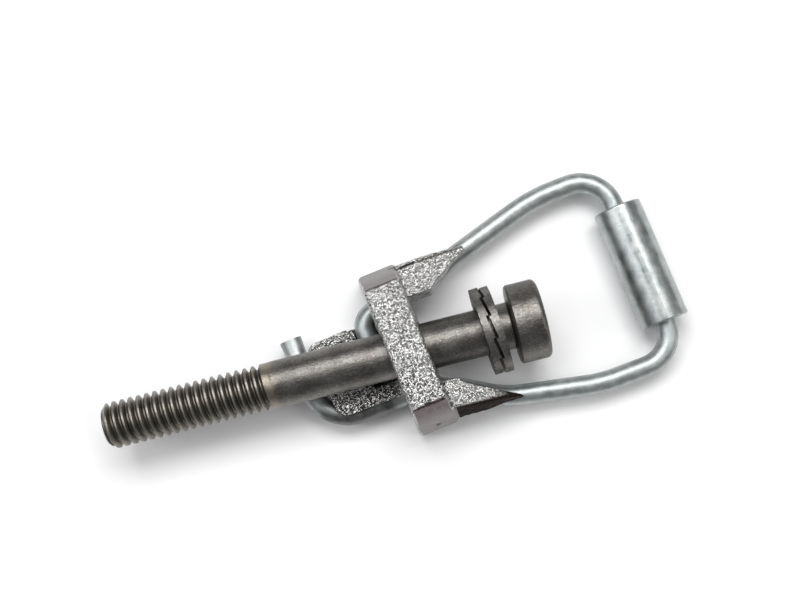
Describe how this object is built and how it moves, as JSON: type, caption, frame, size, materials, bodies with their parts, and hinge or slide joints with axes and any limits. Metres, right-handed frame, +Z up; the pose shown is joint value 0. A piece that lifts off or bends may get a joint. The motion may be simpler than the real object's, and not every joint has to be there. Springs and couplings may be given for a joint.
{
  "type": "screw-drawn bail clamp",
  "caption": "Cast yoke with a captive cap screw and wedge washers, and an open spring-wire bail with a roller that hooks over a part and is drawn tight by the screw.",
  "frame": {"origin": "middle of the yoke plate's underside, where it rests on the bench", "axes": "+X runs square out of the plate towards the screw's head and the roller, +Y to the side where the bail's hooked end enters the tongue, +Z up from the bench"},
  "size_m": [0.0986, 0.0374, 0.0179],
  "materials": {
    "casting": "bright plated, coarse sand-cast grain with ground end faces",
    "screw": "worn dark stainless",
    "washer": "worn dark stainless",
    "wire": "bright zinc plated",
    "roller": "bright zinc plated"
  },
  "bodies": {
    "yoke": {"yoke_casting": "casting"},
    "upper_washer": {"wedge_washer_upper": "washer"},
    "lower_washer": {"wedge_washer_lower": "washer"},
    "screw": {"captive_screw": "screw"},
    "bail": {"wire_bail": "wire"},
    "roller": {"bail_roller": "roller"}
  },
  "joints": [
    {"name": "screw_slide", "type": "slide", "parent": "yoke", "child": "upper_washer", "axis": [0.9903, -0.1392, 0], "range_m": [-0.0045, 0.0135]},
    {"name": "washer_gap", "type": "slide", "parent": "upper_washer", "child": "lower_washer", "axis": [-0.9903, 0.1392, 0], "range_m": [0, 0.0006]},
    {"name": "screw_spin", "type": "hinge", "parent": "upper_washer", "child": "screw", "pos_m": [0, -0.0007, 0.0105], "axis": [0.9903, -0.1392, 0], "continuous": true},
    {"name": "bail_rock", "type": "hinge", "parent": "yoke", "child": "bail", "pos_m": [-0.0056, 0, 0.00415], "axis": [0, -1, 0], "range_deg": [-1, 2]},
    {"name": "roller_spin", "type": "hinge", "parent": "bail", "child": "roller", "pos_m": [0.04252, -0.0015, 0.00415], "axis": [0, 1, 0], "continuous": true}
  ]
}
